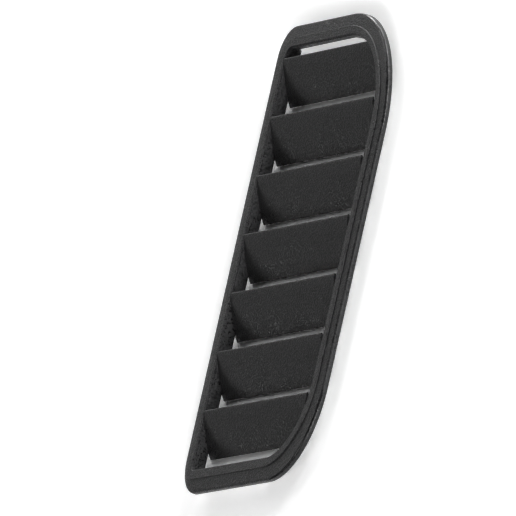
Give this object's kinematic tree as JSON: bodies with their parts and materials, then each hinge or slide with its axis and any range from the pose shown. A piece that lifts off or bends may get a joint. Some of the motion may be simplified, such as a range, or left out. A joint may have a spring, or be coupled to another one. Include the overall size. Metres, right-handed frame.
{
  "type": "car bonnet vent",
  "caption": "Low louvred bonnet vent in one moulding: a D-shaped flange with a raised inner band round a duct opening, crossed by bowed parallel blades that slope down towards the front.",
  "frame": {"origin": "under the middle of the vent, on the plane of the blades' low edges", "axes": "+Z outward from the bonnet skin, +Y from the front of the vent to its rear, +X from the inboard side to the outboard side"},
  "size_m": [0.254, 0.408, 0.0174],
  "materials": {
    "moulded_plastic": "black, fine grain, satin"
  },
  "bodies": {
    "root": {"vent_moulding": "moulded_plastic"}
  },
  "joints": []
}
